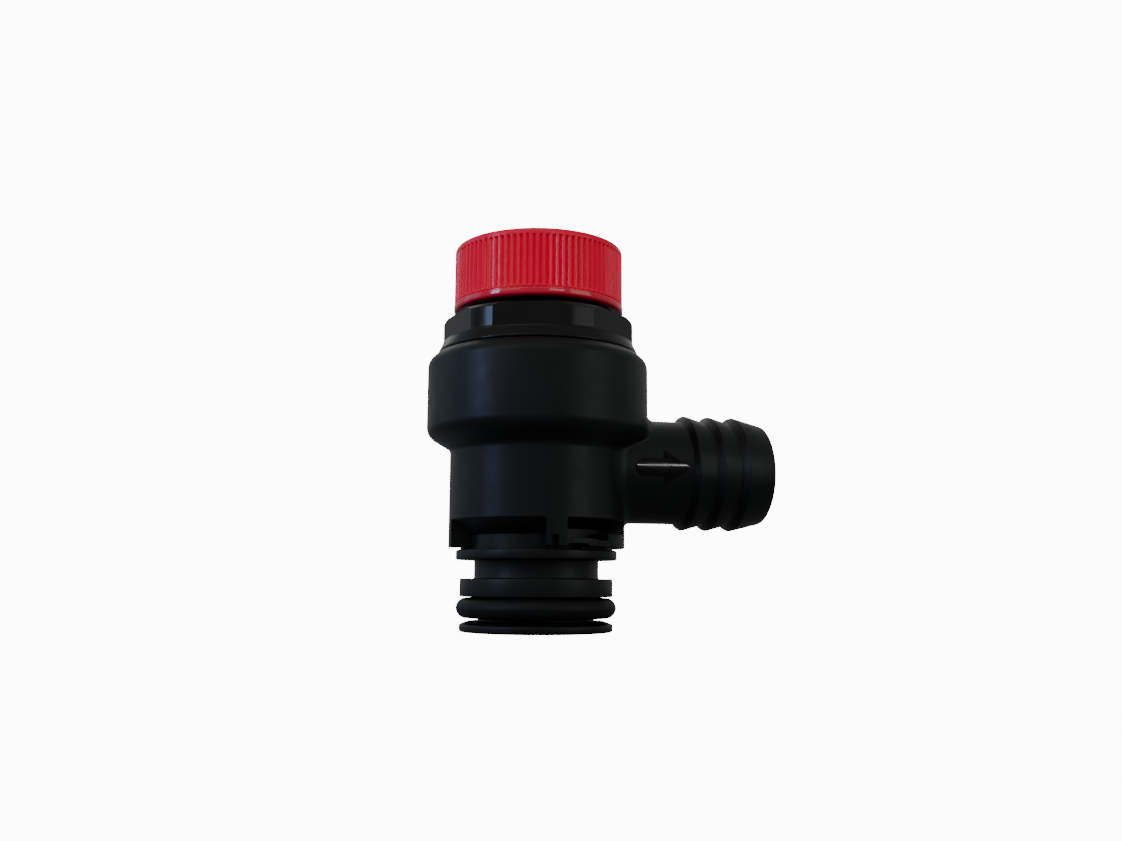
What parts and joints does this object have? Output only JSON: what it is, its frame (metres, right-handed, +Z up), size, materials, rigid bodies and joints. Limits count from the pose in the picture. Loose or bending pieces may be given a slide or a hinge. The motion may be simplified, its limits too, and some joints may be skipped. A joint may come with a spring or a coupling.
{
  "type": "boiler safety valve",
  "caption": "Black moulded safety valve with an O-ring spigot below, a barbed hose outlet at the side and a red ribbed knob that lifts the seat.",
  "frame": {"origin": "under the middle of the whole valve, on the plane of the spigot's end face", "axes": "+Z up along the valve's axis from the spigot to the knob, +X along the hose outlet, Y across"},
  "size_m": [0.0408, 0.0262, 0.0453],
  "materials": {
    "black_nylon": "moulded, semi-matt",
    "red_plastic": "moulded, satin",
    "black_rubber": "moulded",
    "brass": "turned",
    "steel": "plain",
    "slip_plastic": "moulded"
  },
  "bodies": {
    "valve_housing": {"valve_body": "black_nylon", "inlet_o_ring": "black_rubber", "bonnet": "black_nylon", "slip_ring": "slip_plastic", "spring_washer": "steel", "spring_adjuster": "brass", "diaphragm": "black_rubber", "valve_spring": "steel"},
    "lift_group": {"stem": "brass", "spring_plate": "steel", "disc_holder": "brass", "seat_seal": "black_rubber", "knob_washer": "steel", "knob_nut": "steel"},
    "knob": {"control_knob": "red_plastic", "knob_cap": "red_plastic"}
  },
  "joints": [
    {"name": "stem_lift", "type": "slide", "parent": "valve_housing", "child": "lift_group", "axis": [0, 0, 1], "range_m": [0, 0.0014], "deforming": ["valve_spring", "diaphragm"]},
    {"name": "knob_turn", "type": "hinge", "parent": "lift_group", "child": "knob", "pos_m": [-0.00735, 0, 0.0408], "axis": [0, 0, 1], "range_deg": [0, 75]}
  ],
  "couplings": [
    {"joint": "knob_turn", "follows": "stem_lift", "rad_per_m": 935}
  ]
}
